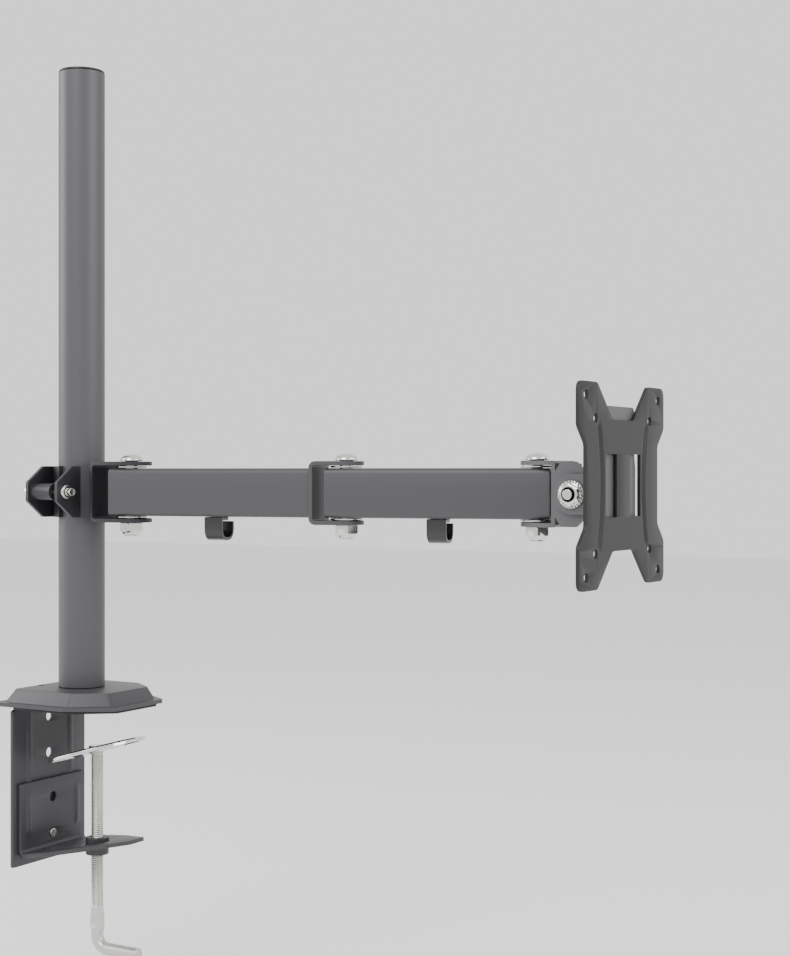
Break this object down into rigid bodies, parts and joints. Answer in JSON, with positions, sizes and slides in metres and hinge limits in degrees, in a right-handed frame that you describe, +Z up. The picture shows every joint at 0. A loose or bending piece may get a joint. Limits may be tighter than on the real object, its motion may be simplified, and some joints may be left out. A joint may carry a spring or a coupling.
{
  "type": "monitor arm",
  "caption": "Desk-clamp monitor arm: upright pole, sliding collar, two folding tube links, swivel and tilt head with a square-pattern mounting plate.",
  "frame": {"origin": "on the pole's axis at the underside of the desk pad, where the base rests on the desk", "axes": "+Z up along the pole, +X over the desk away from its edge, -Y the near side"},
  "size_m": [0.4008, 0.1451, 0.5747],
  "materials": {
    "powder_base": "satin textured powder coat",
    "powder_pole": "textured powder coat",
    "powder_clamp": "satin powder coat",
    "powder_collar": "satin powder coat",
    "powder_arm": "fine textured powder coat",
    "powder_head": "textured powder coat",
    "powder_plate": "satin black coat",
    "zinc_disc": "bright zinc",
    "zinc_screw": "zinc plated thread",
    "zinc": "bright zinc plate",
    "plastic_black": "glossy black plastic",
    "foam": "closed-cell foam"
  },
  "bodies": {
    "root": {"base_plate": "powder_base", "desk_pad": "foam", "pole_tube": "powder_pole", "pole_cap": "plastic_black", "pole_plug": "zinc", "pole_bolt": "zinc", "pole_washer": "zinc", "back_plate": "powder_clamp", "lower_jaw": "powder_clamp", "jaw_screw": "zinc", "screw_bush": "powder_clamp"},
    "foot": {"ball_cup": "zinc_disc"},
    "disc": {"pressure_disc": "zinc_disc"},
    "screw": {"clamp_screw": "zinc_screw"},
    "collar": {"rear_collar": "powder_collar", "front_collar": "powder_collar", "root_bracket": "powder_collar", "collar_screw_near": "zinc", "collar_screw_far": "zinc", "collar_nut_near": "zinc", "collar_nut_far": "zinc", "pivot_bolt_1": "zinc", "lock_nut_1": "zinc", "upper_washer_1": "zinc", "lower_washer_1": "zinc"},
    "arm_1": {"arm_1_tube": "powder_arm", "pivot_sleeve_1": "zinc", "elbow_bracket": "powder_arm", "cable_clip_1": "plastic_black", "pivot_bolt_2": "zinc", "lock_nut_2": "zinc", "upper_washer_2": "zinc", "lower_washer_2": "zinc"},
    "arm_2": {"arm_2_tube": "powder_arm", "pivot_sleeve_2": "zinc", "pivot_sleeve_3": "zinc", "cable_clip_2": "plastic_black"},
    "swivel": {"swivel_bracket": "powder_head", "pivot_bolt_3": "zinc", "lock_nut_3": "zinc", "upper_washer_3": "zinc", "lower_washer_3": "zinc"},
    "tilt": {"tilt_bracket": "powder_head", "tilt_bolt": "zinc", "tilt_nut": "zinc", "tilt_washer_near": "plastic_black", "tilt_washer_far": "plastic_black", "vesa_plate": "powder_plate", "lock_screw": "zinc"}
  },
  "joints": [
    {"name": "clamp_travel", "type": "slide", "parent": "root", "child": "foot", "axis": [0, 0, 1], "range_m": [-0.045, 0.015]},
    {"name": "clamp_turn", "type": "hinge", "parent": "foot", "child": "screw", "pos_m": [0.013, 0, -0.0295], "axis": [0, 0, 1], "range_deg": [-12960, 4320]},
    {"name": "disc_tilt", "type": "hinge", "parent": "foot", "child": "disc", "pos_m": [0.013, 0, -0.0295], "axis": [0, 1, 0], "range_deg": [-3, 32]},
    {"name": "collar_height", "type": "slide", "parent": "root", "child": "collar", "axis": [0, 0, 1], "range_m": [-0.08, 0.25]},
    {"name": "arm_1_swing", "type": "hinge", "parent": "collar", "child": "arm_1", "pos_m": [0.04654, -0.00654, 0.1396], "axis": [0, 0, 1], "range_deg": [-108, 72]},
    {"name": "arm_2_swing", "type": "hinge", "parent": "arm_1", "child": "arm_2", "pos_m": [0.19131, 0.01898, 0.1396], "axis": [0, 0, 1], "range_deg": [-93, 87]},
    {"name": "head_swivel", "type": "hinge", "parent": "arm_2", "child": "swivel", "pos_m": [0.30628, 0.04553, 0.1396], "axis": [0, 0, 1], "range_deg": [-75, 104]},
    {"name": "head_tilt", "type": "hinge", "parent": "swivel", "child": "tilt", "pos_m": [0.33927, 0.04467, 0.1396], "axis": [0.0262, 0.9997, 0], "range_deg": [-15, 15]}
  ],
  "couplings": [
    {"joint": "clamp_turn", "follows": "clamp_travel", "rad_per_m": 5026.5}
  ]
}
